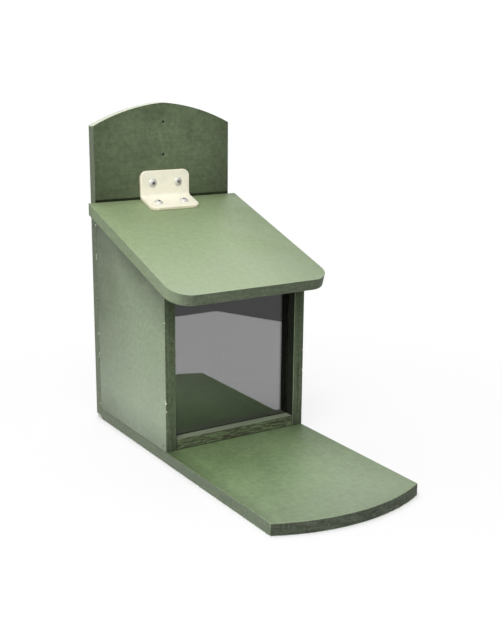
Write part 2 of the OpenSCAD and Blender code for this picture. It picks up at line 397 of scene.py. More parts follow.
def board_paint(
    name, colour, grain, plies, shade_and_darkening, sheen_share, contrast, pale=SHEEN_GREY, grain_turn=(0, 0, 0), rub=0.75,
    knocked=None, shade_inside=1.0, soaked_and_shaded=SOAKED_AND_SHADED
):
    """Satin green paint over plywood. Grain and plies stretch the veneer and the streaks of sawn edges,
    and grain_turn turns both. Two functions give the shares at a place of a dark colour, which is painted
    shade in most places and plain darkening in the rest, and of a pale colour, which is painted sheen, and on
    the back board a painted highlight. Contrast is how much the colour varies, rub how much of the arrises is
    worn pale, and knocked a function that gives how close a place lies to an edge that has lost flakes of
    paint.
    The next share is how much of the near-black painted shade shows inside the hopper, and the last argument
    gives the two colours of sawn edges, which are dark from drunk-in paint and from painted shade."""
    finish, tree, shader = new_finish(name)
    place = object_place(tree)
    axes = axes_of(tree, place)
    veneer = streaks(tree, place, grain, twist=1.4, turn=grain_turn)
    clouds = cloud(tree, place, CLOUD, 5.0)
    mottle = cloud(tree, place, MOTTLE, 3.0)
    nap = cloud(tree, place, NAP, 2.0)
    tone = weighted(tree, (veneer, 0.2), (clouds, 0.25), (mottle, 0.35), (nap, 0.2))
    shades = tinted(colour, 1 - contrast), tinted(colour, 1 + contrast)
    painted = mixed(tree, ramp(tree, tone, *MIDDLE), *shades)
    # Mixes in the pale colour: painted sheen, and on the back board a painted highlight.
    painted = mixed(tree, sheen_share(tree, axes), painted, pale)

    layers = streaks(tree, place, plies, detail=6.0, twist=0.3, turn=grain_turn)
    speckle = weighted(tree, (layers, 0.45), (mottle, 0.2), (nap, 0.35))
    edge_paint = mixed(tree, ramp(tree, speckle, *MIDDLE), *soaked_and_shaded)
    sawn = mark(tree, "sawn")
    skin = mixed(tree, sawn, painted, edge_paint)

    patches = cloud(tree, place, PATCH, 4.0)
    rubbed = times(tree, mark(tree, "arris"), ramp(tree, patches, 0.42, 0.62, 0.2 * rub, rub))
    skin = mixed(tree, rubbed, skin, WORN_PAINT)
    if knocked:
        flakes = ramp(tree, cells(tree, place, FLAKE), 0.34, 0.26)
        chipped = times(tree, flakes, ramp(tree, patches, 0.50, 0.55), knocked(tree, axes))
        skin = mixed(tree, chipped, skin, BARE_CHIP)
    # Mixes in the dark colour, which is painted shade in most places.
    darkness = times(tree, shade_and_darkening(tree, axes), ramp(tree, clouds, 0.35, 0.65, 0.88, 1.12))
    skin = mixed(tree, darkness, skin, SHADE_AND_DARKENING)

    # Painted shade inside the hopper, near-black with the veneer's grain.
    hopper_shade = mixed(tree, veneer, tinted(HOPPER_PAINTED_SHADE, 0.6), tinted(HOPPER_PAINTED_SHADE, 1.5))
    inside = times(tree, hopper_painted_shade(tree, axes), shade_inside)
    gloss = ramp(tree, plus(tree, clouds, times(tree, nap, 0.4)), 0.5, 0.9, 0.46, 0.58)
    relief = weighted(tree, (veneer, 0.6), (nap, 0.35), (times(tree, layers, sawn), 1.6))
    relief = times(tree, relief, minus(tree, 1.0, inside))
    plug(tree, shader, {
        "Base Color": mixed(tree, inside, skin, hopper_shade),
        "Roughness": plus(tree, gloss, times(tree, sawn, 0.15), times(tree, inside, 0.3)),
        "Specular IOR Level": ramp(tree, largest(tree, sawn, darkness, inside), 0.0, 1.0, 0.9, 0.15),
        "Normal": bumps(tree, relief, 0.35, 0.3 * MM),
    })
    return finish


bm = fresh_mesh()
arched_outline(bm, house_half, floor_high.y, floor_low.y + PLATFORM_ARCH, floor_low.y)
drill(bm, floor_screw_spots, BOARD_SCREW_RADIUS + SCREW_PLAY)
raise_board(bm, board)
mark_sawn(bm, grain_axis=1, ends=1.0, sides=0.67)
ease(bm, outer_edges(bm, floor_screw_spots, BOARD_HEAD_RADIUS), ARRIS)
countersink(bm, floor_screw_spots)

# Shares of painted shade by the sill, of the darker left and other rims, and of the darker front corner.
SILL_PAINTED_SHADE, LEFT_RIM_DARKER, RIM_DARKER, CORNER_FOOT_DARKER = 0.36, 0.32, 0.22, 0.6
# Shares of painted sheen on the platform's front, its right and its side edges.
FRONT_SHEEN, RIGHT_SHEEN, SIDE_SHEEN = 0.30, 0.10, 0.6


def platform_shade_and_darkening(tree, axes):
    """Painted shade on the platform towards the sill, where the house shades it. The platform is also darker
    along its left, right and front rims, and at the foot of its front edge near the left corner."""
    x, y, z = axes
    by_sill = ramp(tree, y, wall_front - 80 * MM, wall_front, 0.0, SILL_PAINTED_SHADE)
    left = ramp(tree, x, -house_half, 15 * MM - house_half, LEFT_RIM_DARKER, 0.0)
    right = ramp(tree, x, 25 * MM, house_half, 0.0, RIM_DARKER)
    front = ramp(tree, y, floor_low.y, floor_low.y + 60 * MM, RIM_DARKER, 0.0)
    darkness = plus(tree, by_sill, largest(tree, left, right, front))
    on_top = ramp(tree, z, board - ARRIS, board)
    on_front = is_under(tree, y, floor_low.y + PLATFORM_ARCH)
    corner = ramp(tree, x, -house_half, -25 * MM, CORNER_FOOT_DARKER, 0.0)
    soil = times(tree, on_front, corner, ramp(tree, z, 0.0, board - ARRIS, 1.0, 0.15))
    return largest(tree, times(tree, darkness, on_top), soil)


def painted_sheen_platform(tree, axes):
    """Painted sheen, pale and grey, towards the platform's front and right, and on the floor's side edges."""
    x, y, z = axes
    forward = ramp(tree, y, floor_low.y + 20 * MM, wall_front - 40 * MM, FRONT_SHEEN, 0.0)
    rightward = ramp(tree, x, -50 * MM, 20 * MM, 0.0, RIGHT_SHEEN)
    sides = ramp(tree, y, floor_low.y + 20 * MM, wall_front, 0.1, SIDE_SHEEN)
    sides = times(tree, sides, is_under(tree, z, board - ARRIS))
    return plus(tree, forward, rightward, sides)


# Noise cells in a metre along the grain, across it and across the plies of an edge.
LONG, FINE, PLY = 20.0, 320.0, 900.0
PLATFORM_SAGE = (0.200, 0.300, 0.128)
floor_paint = board_paint(
    "platform_paint", PLATFORM_SAGE, grain=(FINE, LONG, FINE), plies=(50, 50, PLY), shade_and_darkening=platform_shade_and_darkening,
    sheen_share=painted_sheen_platform, contrast=0.26, rub=0.3
)
add_piece("platform_floor", bm, floor_paint, "house", "painted_board", "floor_board")


# Back board: tall plywood board with an arched top and two holes on its centre line to hang the house by.
# It is screwed from behind into both walls and into the floor board's rear edge, with the heads in
# countersinks. Its top edge carries a painted highlight in a pale colour.
lid_low, lid_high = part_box("lid")
back_rear = back_high.y
BACK_ARCH = 19.5 * MM
BACK_ARCH_LEAN = 14 * MM
FOOT_CORNER = 5 * MM
FOOT_STEPS = 8
HANG_HOLE_RADIUS = 1.5 * MM
HANG_HOLE_DROP = 17.5 * MM
HANG_HOLE_SPACING = 30 * MM
HOLE_ARRIS = 0.3 * MM
BACK_SCREW_LOW = 38 * MM
BACK_SCREW_DROP = 30 * MM
REAR_SCREW_SPACING = 64 * MM
hang_spots = [(0, back_high.z - HANG_HOLE_DROP - step * HANG_HOLE_SPACING) for step in (0, 1)]
back_screw_rows = (board + BACK_SCREW_LOW, wall_high.z - BACK_SCREW_DROP)
back_screw_spots = [(side * screw_line, z) for side in (-1, 1) for z in back_screw_rows]
rear_screw_spots = [(side * REAR_SCREW_SPACING / 2, board / 2) for side in (-1, 1)]
sunk_spots = back_screw_spots + rear_screw_spots

bm = fresh_mesh()
arched_outline(bm, house_half, 0, back_high.z - BACK_ARCH, back_high.z, BACK_ARCH_LEAN)
feet = [vert for vert in bm.verts if vert.co.y < FOOT_CORNER]
bmesh.ops.bevel(
    bm, geom=feet, offset=FOOT_CORNER, offset_type="OFFSET", segments=FOOT_STEPS, profile=0.5,
    affect="VERTICES", clamp_overlap=True, material=-1
)
drill(bm, sunk_spots, BOARD_SCREW_RADIUS + SCREW_PLAY)
drill(bm, hang_spots, HANG_HOLE_RADIUS)
raise_board(bm, back_rear - back_front)
mark_sawn(bm, grain_axis=0, ends=0.4, sides=0.0)
ease(bm, outer_edges(bm, sunk_spots + hang_spots, BOARD_HEAD_RADIUS), ARRIS)
countersink(bm, sunk_spots)
ease(bm, rim_of(bm, hang_spots, 2 * HANG_HOLE_RADIUS), HOLE_ARRIS)
stand_up = Matrix(((1, 0, 0, 0), (0, 0, -1, back_rear), (0, 1, 0, 0), (0, 0, 0, 1)))
bmesh.ops.transform(bm, matrix=stand_up, verts=bm.verts[:])

root_of = arithmetic("SQRT")
SAGE = (0.208, 0.284, 0.136)
# The back board's green is darkened as painted shade for its forward face; the same darker green covers its
# rear face.
BACK_PAINTED_SHADE = 0.515
# Pale colour and shares of the painted highlight along the top edge and of the paler lower sides.
HIGHLIGHT_PALE = (0.62, 0.64, 0.50)
TOP_HIGHLIGHT, LOW_SIDE_PALER = 0.92, 0.09
# Width of the painted shadow line above the lid's rear edge.
GAP_SHADOW_WIDTH = 2.8 * MM
# Shares of darkening above the lid, towards the sides and under the arch.
ABOVE_LID_DARKER, FLANK_DARKER, CROWN_DARKER = 0.25, 0.29, 0.14


def back_shadow_and_darkening(tree, axes):
    """Painted shadow: a dark line on the front face where the lid's rear edge almost touches the board. The
    face is also darker for a little way above the lid, towards its sides and under the arch."""
    x, y, z = axes
    line = ramp(tree, size_of(tree, minus(tree, z, lid_high.z)), 0.7 * GAP_SHADOW_WIDTH, GAP_SHADOW_WIDTH, 1.0, 0.0)
    above_lid = ramp(tree, z, lid_high.z, lid_high.z + 50 * MM, ABOVE_LID_DARKER, 0.0)
    flank = ramp(tree, size_of(tree, x), 35 * MM, house_half, 0.0, FLANK_DARKER)
    crown = ramp(tree, z, back_high.z - 35 * MM, back_high.z - 10 * MM, 0.0, CROWN_DARKER)
    front_face = is_under(tree, y, back_front + 0.1 * MM)
    return times(tree, largest(tree, line, plus(tree, above_lid, flank, crown)), front_face)


def knocked_arris(front, width, depth):
    """Makes a function that gives how close a place lies to the upright arrises of a face that looks forward,
    on the house's outer sides and below the lid."""
    def closeness(tree, axes):
        x, y, z = axes
        outer = is_over(tree, size_of(tree, x), house_half - width)
        near = ramp(tree, y, front + 1 * MM, front + depth, 1.0, 0.0)
        return times(tree, outer, is_under(tree, z, wall_high.z), near)
    return closeness


def top_edge_highlight(tree, axes):
    """Painted highlight along the top edge, in a pale colour, and the side edges a little paler near the
    ground.
    """
    x, y, z = axes
    across = size_of(tree, x)
    drop = arch_drop(house_half, BACK_ARCH, BACK_ARCH_LEAN)
    reach = plus(tree, across, BACK_ARCH_LEAN)
    height = minus(tree, drop ** 2 + BACK_ARCH_LEAN ** 2, times(tree, reach, reach))
    arch = plus(tree, root_of(tree, height), back_high.z - drop - ARRIS)
    inward = ramp(tree, y, back_front + 0.5 * ARRIS, back_front + ARRIS)
    outward = ramp(tree, y, back_rear - 0.5 * ARRIS, back_rear - ARRIS)
    top = times(tree, inward, outward, is_over(tree, z, arch), TOP_HIGHLIGHT)
    side = is_over(tree, across, house_half - ARRIS)
    return largest(tree, top, times(tree, side, ramp(tree, z, 20 * MM, 140 * MM, LOW_SIDE_PALER, 0.0)))


back_paint = board_paint(
    "back_board_paint", tinted(SAGE, BACK_PAINTED_SHADE), grain=(LONG, FINE, FINE), plies=(130, PLY, 130),
    shade_and_darkening=back_shadow_and_darkening, sheen_share=top_edge_highlight, pale=HIGHLIGHT_PALE, grain_turn=(0, math.radians(24), 0), contrast=0.34,
    knocked=knocked_arris(back_front, 0.5 * MM, 2.2 * MM)
)
add_piece("tall_back", bm, back_paint, "house", "painted_board", "back_board")


# Side walls: two upright plywood boards with sloping tops, on the floor board and against the back board.
# Each has a saw groove down its inner face for the pane's edge, and a hole for the brad into the sill's end.
sill_low, sill_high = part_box("sill")
pane_low, pane_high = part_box("front_pane")
GROOVE_DEPTH = 5 * MM
PANE_PLAY = 0.4 * MM
BRAD_HOLE_RADIUS = 1.4 * MM
WALL_ARRIS = 0.5 * MM
groove_front = sill_high.y
groove_rear = pane_high.y + PANE_PLAY
brad_spot = ((sill_low.y + sill_high.y) / 2, (sill_low.z + sill_high.z) / 2)


def slice_at(bm, point, direction, **options):
    """Cuts all faces of a mesh along a plane."""
    everything = bm.verts[:] + bm.edges[:] + bm.faces[:]
    bmesh.ops.bisect_plane(bm, geom=everything, plane_co=point, plane_no=direction, **options)


def side_wall(name, node_name, side, finish):
    """One wall: its side outline is filled, parted along the groove, and raised in two steps."""
    bm = fresh_mesh()
    outline = (
        (wall_front, board), (back_front, board), (back_front, wall_high.z), (wall_front, wall_top_front)
    )
    corners = [bm.verts.new((y, z, 0)) for y, z in outline]
    for place, corner in enumerate(corners):
        bm.edges.new((corners[place - 1], corner))
    drill(bm, [brad_spot], BRAD_HOLE_RADIUS)
    fill_outline(bm)
    for line in (groove_front, groove_rear):
        slice_at(bm, (line, 0, 0), (1, 0, 0))
    lands = bm.faces[:]
    for step in (board - GROOVE_DEPTH, GROOVE_DEPTH):
        lands = [
            item for item in lift_faces(bm, lands, step) if isinstance(item, bmesh.types.BMFace)
            and not groove_front < item.calc_center_median().x < groove_rear
        ]
    face_outward(bm)
    mark_sawn(bm, grain_axis=0, ends=0.88, sides=0.2)
    ease(bm, outer_edges(bm, [brad_spot], 2 * BRAD_HOLE_RADIUS), WALL_ARRIS)
    stand_up = Matrix(((0, 0, -side, side * house_half), (1, 0, 0, 0), (0, 1, 0, 0), (0, 0, 0, 1)))
    bmesh.ops.transform(bm, matrix=stand_up, verts=bm.verts[:])
    face_outward(bm)
    add_piece(name, bm, finish, "house", "painted_board", node_name)


# Shares of painted shade under the lid and beside the back board, of darkening at the foot, and of painted
# shade towards the top.
UNDER_LID_PAINTED_SHADE, BESIDE_BACK_PAINTED_SHADE, FOOT_DARKER, HIGH_PAINTED_SHADE = 0.40, 0.42, 0.42, 0.25
# Share of painted sheen low on the walls.
LOW_SHEEN = 0.34


def wall_shade_and_darkening(tree, axes):
    """Painted shade on a wall below the lid's overhang, beside the back board and towards its top, and the
    wall darker at its foot.
    """
    _, y, z = axes
    below = ramp(tree, depth_under_lid(tree, axes), 0.0, 45 * MM, UNDER_LID_PAINTED_SHADE, 0.0)
    beside = ramp(tree, y, back_front - 80 * MM, back_front, 0.0, BESIDE_BACK_PAINTED_SHADE)
    beside = times(tree, beside, ramp(tree, z, 20 * MM, 110 * MM, 0.65, 1.0))
    foot = ramp(tree, z, board, board + 26 * MM, FOOT_DARKER, 0.0)
    foot = times(tree, foot, ramp(tree, y, wall_front, wall_front + 90 * MM, 1.0, 0.65))
    high = ramp(tree, z, 45 * MM, 160 * MM, 0.0, HIGH_PAINTED_SHADE)
    return plus(tree, largest(tree, below, beside), foot, high)


def painted_sheen_low(tree, axes):
    """Painted sheen, pale and grey, on the lower half of a wall."""
    return ramp(tree, axes[2], 20 * MM, 120 * MM, LOW_SHEEN, 0.0)


# The walls' green is paler and greyer than the sage, with painted sheen mixed into it.
WALL_SAGE_WITH_SHEEN = (0.262, 0.338, 0.202)
# Colours of the walls' sawn edges, dark from drunk-in paint and from painted shade.
WALL_SOAKED_AND_SHADED = ((0.024, 0.032, 0.016), (0.101, 0.134, 0.072))
wall_paint = board_paint(
    "wall_paint", WALL_SAGE_WITH_SHEEN, grain=(FINE, LONG, FINE), plies=(PLY, 130, 22), shade_and_darkening=wall_shade_and_darkening,
    sheen_share=painted_sheen_low, contrast=0.19, rub=0.25, knocked=knocked_arris(wall_front, 1 * MM, 2 * MM),
    soaked_and_shaded=WALL_SOAKED_AND_SHADED
)
side_wall("left_side", "left_wall", -1, wall_paint)
side_wall("right_side", "right_wall", 1, wall_paint)


# Sill: a strip of sawn wood between the walls in front of the pane, which keeps the nuts in.
# Its front is left as the saw cut it, with slanting tooth marks under one thin coat of paint.
SILL_ARRIS = 0.5 * MM
SAW_CELL = 0.9 * MM
SAW_DEPTH = 0.3 * MM
SAW_SLANT = math.radians(25)
SAW_FADE = 1.2 * MM
# Waves of the saw marks: strength, length, offset of the noise, width.
SAW_WAVES = ((1.0, 9 * MM, 0, 1.3 * MM), (0.5, 4 * MM, 7, 0.7 * MM))


def block(low, high):
    """Square-edged block between two corners."""
    bm = fresh_mesh()
    place = Matrix.Translation((low + high) / 2) @ Matrix.Diagonal((*(high - low), 1))
    bmesh.ops.create_cube(bm, size=1.0, matrix=place)
    return bm


bm = block(sill_low, sill_high)
ease(bm, outer_edges(bm), SILL_ARRIS)
for axis, low, high in ((0, sill_low.x, sill_high.x), (2, sill_low.z, sill_high.z)):
    direction = Vector((axis == 0, 0, axis == 2))
    for cell in range(1, int((high - low) / SAW_CELL)):
        slice_at(bm, direction * (low + cell * SAW_CELL), direction)
for vert in bm.verts:
    if vert.co.y < sill_low.y + SILL_ARRIS:
        along = vert.co.x * math.cos(SAW_SLANT) - vert.co.z * math.sin(SAW_SLANT)
        across = vert.co.x * math.sin(SAW_SLANT) + vert.co.z * math.cos(SAW_SLANT)
        cut = sum(
            strength * noise.noise((along / length, offset, across / width))
            for strength, length, offset, width in SAW_WAVES
        )
        fade = min(1.0, min(vert.co.z - sill_low.z, sill_high.z - vert.co.z) / SAW_FADE)
        vert.co.y += SAW_DEPTH * fade * max(0.0, 0.7 + cut)

THIN_COAT = ((0.17, 0.20, 0.14), (0.24, 0.28, 0.19))
RAW_CUT = ((0.022, 0.021, 0.012), (0.085, 0.088, 0.055))
FRONT_SHADE = 0.68
# How much darker the sill is along the joints at its foot and ends.
SEAM_DARKER = 0.85
sill_paint, tree, shader = new_finish("sawn_sill_paint")
place = object_place(tree)
x, y, z = axes_of(tree, place)
tooth_marks = streaks(tree, place, (105, 95, 720), twist=0.5, turn=(0, -SAW_SLANT, 0))
fibres = streaks(tree, place, (22, 500, 500), twist=0.8)
thin_coat = mixed(tree, ramp(tree, fibres, 0.35, 0.65), *THIN_COAT)
raw_cut = mixed(tree, ramp(tree, fibres, 0.3, 0.7), *RAW_CUT)
torn = mixed(tree, ramp(tree, tooth_marks, 0.43, 0.59), raw_cut, tinted(SAGE, FRONT_SHADE))
sawn_front = ramp(tree, y, sill_low.y + 1.4 * MM, sill_low.y + 0.5 * MM)
skin = mixed(tree, sawn_front, thin_coat, torn)
foot_seam = ramp(tree, z, sill_low.z + 0.4 * MM, sill_low.z + 1.3 * MM, SEAM_DARKER, 0.0)
end_seams = ramp(tree, size_of(tree, x), inner_half - 1.4 * MM, inner_half - 0.4 * MM, 0.0, SEAM_DARKER)
relief = plus(tree, tooth_marks, times(tree, fibres, 0.5))
plug(tree, shader, {
    "Base Color": mixed(tree, largest(tree, foot_seam, end_seams), skin, SHADE_AND_DARKENING),
    "Roughness": ramp(tree, tooth_marks, 0.3, 0.7, 0.75, 0.5),
    "Normal": bumps(tree, relief, 0.5, 0.3 * MM),
})
add_piece("sawn_sill", bm, sill_paint, "house", "painted_edge", "sill")


# Pane: a sheet of clear acrylic with polished edges, dropped into the wall grooves behind the sill.
# It is loose, so that it lifts out for cleaning once the lid is open. Its index is above acrylic's 1.49,
# because the table that it mirrors is plain white here and was lit far beyond white in the photo.
PANE_ARRIS = 0.35 * MM
PANE_INDEX = 2.25
CLEAN_PANE, DUSTY_PANE = (0.97, 0.985, 0.98), (0.90, 0.92, 0.91)
bm = block(pane_low, pane_high)
ease(bm, outer_edges(bm), PANE_ARRIS)

clear_acrylic, tree, shader = new_finish("clear_acrylic")
place = object_place(tree)
wiped = streaks(tree, place, (60, 60, 18), detail=4.0, twist=1.2, turn=(0, math.radians(30), 0))
dust = cloud(tree, place, 300.0, 2.0)
film = times(tree, ramp(tree, wiped, 0.45, 0.75), ramp(tree, dust, 0.45, 0.7))
plug(tree, shader, {
    "Base Color": mixed(tree, film, CLEAN_PANE, DUSTY_PANE),
    "Roughness": ramp(tree, film, 0.0, 1.0, 0.0, 0.02),
    "Transmission Weight": 1.0,
    "IOR": PANE_INDEX,
})
add_piece("clear_pane", bm, clear_acrylic, "pane", "clear_pane", "front_pane")


# Lid: a plywood roof board, wider than the house, that rests on the sloping wall tops.
# Its front edge is sawn square with two round corners, its rear edge plumb to meet the back board.
# It is painted green on both faces.
LID_CORNER = 19 * MM
CORNER_STEPS = 14
# Share of drunk-in paint and painted shade on the lid's front and rear edges.
LID_SOAK_AND_SHADE = 0.84
lid_half = lid_high.x
lid_foot = lid_low.y + board * math.sin(LID_SLOPE)
lid_length = (back_rear - lid_foot) / math.cos(LID_SLOPE)

bm = fresh_mesh()
rear_edge = [bm.verts.new((side * lid_half, lid_length, 0)) for side in (1, -1)]
right_start = bm.verts.new((lid_half, LID_CORNER, 0))
left_start = bm.verts.new((LID_CORNER - lid_half, 0, 0))
right_end, left_end = [
    arc(bm, start, (side * (lid_half - LID_CORNER), LID_CORNER), -math.pi / 2, CORNER_STEPS)
    for side, start in ((1, right_start), (-1, left_start))
]
for pair in ((rear_edge[0], right_start), (right_end, left_start), (left_end, rear_edge[1]), rear_edge):
    bm.edges.new(pair)
raise_board(bm, board)
mark_sawn(bm, grain_axis=1, ends=LID_SOAK_AND_SHADE, sides=0.36)
tilt = Matrix.Translation((0, lid_foot, lid_low.z)) @ Matrix.Rotation(LID_SLOPE, 4, "X")
bmesh.ops.transform(bm, matrix=tilt, verts=bm.verts[:])
slice_at(bm, (0, lid_high.y, 0), (0, 1, 0), clear_outer=True)
bmesh.ops.holes_fill(bm, edges=[edge for edge in bm.edges if edge.is_boundary], sides=0)
face_outward(bm)
sawn_layer = bm.faces.layers.float["sawn"]
for face in bm.faces:
    if face.normal.y > 0.9:
        face[sawn_layer] = LID_SOAK_AND_SHADE
ease(bm, outer_edges(bm), ARRIS)

# Shares of the darker band at the rear edge and of painted shade towards the rear and the right.
REAR_EDGE_DARKER, REAR_PAINTED_SHADE, RIGHT_PAINTED_SHADE = 0.20, 0.16, 0.25
# Share of painted sheen towards the lid's front.
SLOPE_SHEEN = 0.26


def lid_shade_and_darkening(tree, axes):
    """Painted shade towards the lid's rear and its right, where it catches less sheen, and a darker band
    along its rear edge.
    """
    x, y, _ = axes
    edge = ramp(tree, y, lid_high.y - 10 * MM, lid_high.y, 0.0, REAR_EDGE_DARKER)
    rear = ramp(tree, y, lid_low.y, lid_high.y, 0.0, REAR_PAINTED_SHADE)
    return plus(tree, edge, rear, ramp(tree, x, 15 * MM, lid_half, 0.0, RIGHT_PAINTED_SHADE))


def painted_sheen_lid(tree, axes):
    """Painted sheen, pale and grey, towards the lid's front."""
    return ramp(tree, axes[1], lid_low.y, lid_low.y + 80 * MM, SLOPE_SHEEN, 0.0)


# The lid's green is the sage made lighter and greyer, as painted light and sheen on its top; its underside
# carries the same.
LID_SAGE_LIT = (0.283, 0.378, 0.190)
lid_paint = board_paint(
    "lid_paint", LID_SAGE_LIT, grain=(FINE, LONG, FINE), plies=(60, 60, PLY), shade_and_darkening=lid_shade_and_darkening,
    sheen_share=painted_sheen_lid, grain_turn=(-LID_SLOPE, 0, 0), contrast=0.12, shade_inside=0.0
)
add_piece("sloping_lid", bm, lid_paint, "lid", "painted_board", "lid")


# Hinge strap: a strip of thick cream leather, bent once, that is the whole hinge of the lid.
# Two dome-headed screws hold its upper leaf to the back board and two hold its lower leaf to the lid.
# It swells a little between the screws, which pinch it.
STRAP_THICK = 3 * MM
BEND_INNER = 3.25 * MM
UPPER_LEAF = 21.5 * MM
LOWER_LEAF = 21.5 * MM
STRAP_CORNER = 6.5 * MM
STRAP_CORNER_STEPS = 10
STRAP_ARRIS = 0.8 * MM
LEAF_CELL = 1.3 * MM
BEND_CELL = 0.3 * MM
SCREW_SPACING = 26.5 * MM
SCREW_INSET = 11.5 * MM
SWELL = 0.22 * MM
PINCH = 5.5 * MM
strap_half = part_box("hinge_strap")[1].x
_, hinge_y, hinge_z = frame["record"]["behaviour"]["joints"][0]["pos_m"]
bend_angle = math.pi / 2 - LID_SLOPE
bend_middle = BEND_INNER + STRAP_THICK / 2
bend_length = bend_angle * bend_middle
strap_length = UPPER_LEAF + bend_length + LOWER_LEAF
screw_sides = (-SCREW_SPACING / 2, SCREW_SPACING / 2)
screw_rows = (SCREW_INSET, strap_length - SCREW_INSET)
strap_screw_spots = [Vector((x, along)) for along in screw_rows for x in screw_sides]


def bent(across, along, outward):
    """Place of a point of the flat strip once bent: along runs from the top end, outward from the bend."""
    turn = min(max((along - UPPER_LEAF) / bend_middle, 0.0), bend_angle)
    radius = BEND_INNER + outward
    y = hinge_y + radius * math.cos(turn)
    z = hinge_z - radius * math.sin(turn)
    over = max(UPPER_LEAF - along, 0.0)
    beyond = max(along - UPPER_LEAF - bend_length, 0.0)
    return Vector((across, y - beyond * math.cos(LID_SLOPE), z + over - beyond * math.sin(LID_SLOPE)))


bm = fresh_mesh()
first = None
last = None
inner_x = strap_half - STRAP_CORNER
inner_y = strap_length - STRAP_CORNER
for start, centre in (
    ((strap_half, STRAP_CORNER, 0), (inner_x, STRAP_CORNER)),
    ((-inner_x, 0, 0), (-inner_x, STRAP_CORNER)),
    ((-strap_half, inner_y, 0), (-inner_x, inner_y)),
    ((inner_x, strap_length, 0), (inner_x, inner_y)),
):
    corner = bm.verts.new(start)
    if last:
        bm.edges.new((last, corner))
    first = first or corner
    last = arc(bm, corner, centre, -math.pi / 2, STRAP_CORNER_STEPS)
bm.edges.new((last, first))
raise_board(bm, STRAP_THICK)
bmesh.ops.dissolve_limit(bm, angle_limit=math.radians(1), verts=bm.verts[:], edges=bm.edges[:])
mark_sawn(bm, grain_axis=0, ends=1.0, sides=1.0)
ease(bm, [edge for edge in outer_edges(bm) if lies_flat(edge)], STRAP_ARRIS)
along = LEAF_CELL
while along < strap_length:
    slice_at(bm, (0, along, 0), (0, 1, 0))
    in_bend = UPPER_LEAF - LEAF_CELL < along < UPPER_LEAF + bend_length + LEAF_CELL
    along += BEND_CELL if in_bend else LEAF_CELL
across = LEAF_CELL - strap_half
while across < strap_half:
    slice_at(bm, (across, 0, 0), (1, 0, 0))
    across += LEAF_CELL
for vert in bm.verts:
    across, along, outward = vert.co
    gap = min((vert.co.xy - spot).length for spot in strap_screw_spots)
    facing = 1 - outward / STRAP_THICK
    lift = SWELL * facing * (1 - math.exp(-(gap / PINCH) ** 4))
    vert.co = bent(across, along, outward - lift)
face_outward(bm)
for face in bm.faces:
    face.smooth = True

CREAM = (0.99, 0.955, 0.785)
CUT_HIDE = (0.95, 0.85, 0.66)
leather, tree, shader = new_finish("cream_leather")
place = object_place(tree)
pores = cells(tree, place, 1500.0)
hide = cloud(tree, place, 160.0, 6.0)
stretch_marks = streaks(tree, place, (30, 400, 400), detail=4.0, twist=1.0)
tone = weighted(tree, (hide, 0.6), (stretch_marks, 0.4))
tanned = mixed(tree, ramp(tree, tone, 0.35, 0.65), tinted(CREAM, 0.93), CREAM)
cut_rim = times(tree, mark(tree, "sawn"), 0.8)
relief = weighted(tree, (pores, 0.5), (hide, 0.8))
plug(tree, shader, {
    "Base Color": mixed(tree, cut_rim, tanned, CUT_HIDE),
    "Roughness": ramp(tree, hide, 0.3, 0.7, 0.38, 0.55),
    "Normal": bumps(tree, relief, 0.25, 0.2 * MM),
    "Sheen Weight": 0.15,
})
strap = add_piece("leather_strap", bm, leather, None, "strap_leather", "hinge_strap")
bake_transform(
    strap, "house", "lid", start=bent(0, UPPER_LEAF, STRAP_THICK / 2),
    end=bent(0, UPPER_LEAF + bend_length, STRAP_THICK / 2)
)


# Strap screws: zinc-plated wood screws with domed heads and a cross recess, driven through the leather.
# Each has a rolled thread on its shank and a gimlet point.
STRAP_SCREW_RADIUS = 1.75 * MM
STRAP_HEAD_RADIUS = 4.25 * MM
STRAP_HEAD_HEIGHT = 2 * MM
STRAP_SCREW_LENGTH = 11 * MM
# Depths at which the plain shank ends, the thread starts and the thinner core starts, then the pitch.
STRAP_THREAD = (2.2 * MM, 2.3 * MM, 2.6 * MM, 1.3 * MM)
SCREW_POINT = 3 * MM
CORE_SHARE = 0.68
SPIN_STEPS = 40
DOME_STEPS = 9
CROSS_SHARE = 0.58
CROSS_WIDTH = 1.1 * MM
CROSS_DEPTH = 1.3 * MM
CROSS_TAPER = 0.62
THREAD_STEPS = 14
SHARP_ANGLE = math.radians(38)


def spun(profile):
    """Mesh of a profile of radius and depth turned round the Z axis; both its ends lie on the axis."""
    bm = bmesh.new()
    verts = [bm.verts.new((radius, 0, depth)) for radius, depth in profile]
    edges = [bm.edges.new(pair) for pair in zip(verts, verts[1:])]
    bmesh.ops.spin(
        bm, geom=verts + edges, cent=(0, 0, 0), axis=(0, 0, 1), angle=2 * math.pi, steps=SPIN_STEPS,
        use_merge=True
    )
    bmesh.ops.remove_doubles(bm, verts=bm.verts[:], dist=0.005 * MM)
    face_outward(bm)
    return bm


def add_thread(bm, crest, pitch, start, end):
    """Adds a closed helical thread between two depths, its crests at the given radius."""
    core = CORE_SHARE * crest
    turns = int((end - start) / pitch) - 1
    rise = Vector((0, 0, pitch))
    foot, ridge, next_foot = [
        bm.verts.new((radius, 0, start + share * pitch))
        for radius, share in ((core, 0), (crest, 0.5), (core, 1))
    ]
    profile = [foot, ridge, next_foot, bm.edges.new((foot, ridge)), bm.edges.new((ridge, next_foot))]
    before = set(bm.faces)
    bmesh.ops.spin(
        bm, geom=profile, cent=(0, 0, 0), axis=(0, 0, 1), dvec=rise / THREAD_STEPS, angle=2 * math.pi * turns,
        steps=turns * THREAD_STEPS, use_merge=False
    )
    helix = [face for face in bm.faces if face not in before]
    corners = list({vert for face in helix for vert in face.verts})
    bmesh.ops.remove_doubles(bm, verts=corners, dist=0.01 * MM)
    bmesh.ops.holes_fill(bm, edges=[edge for edge in bm.edges if edge.is_boundary], sides=0)
    face_outward(bm)


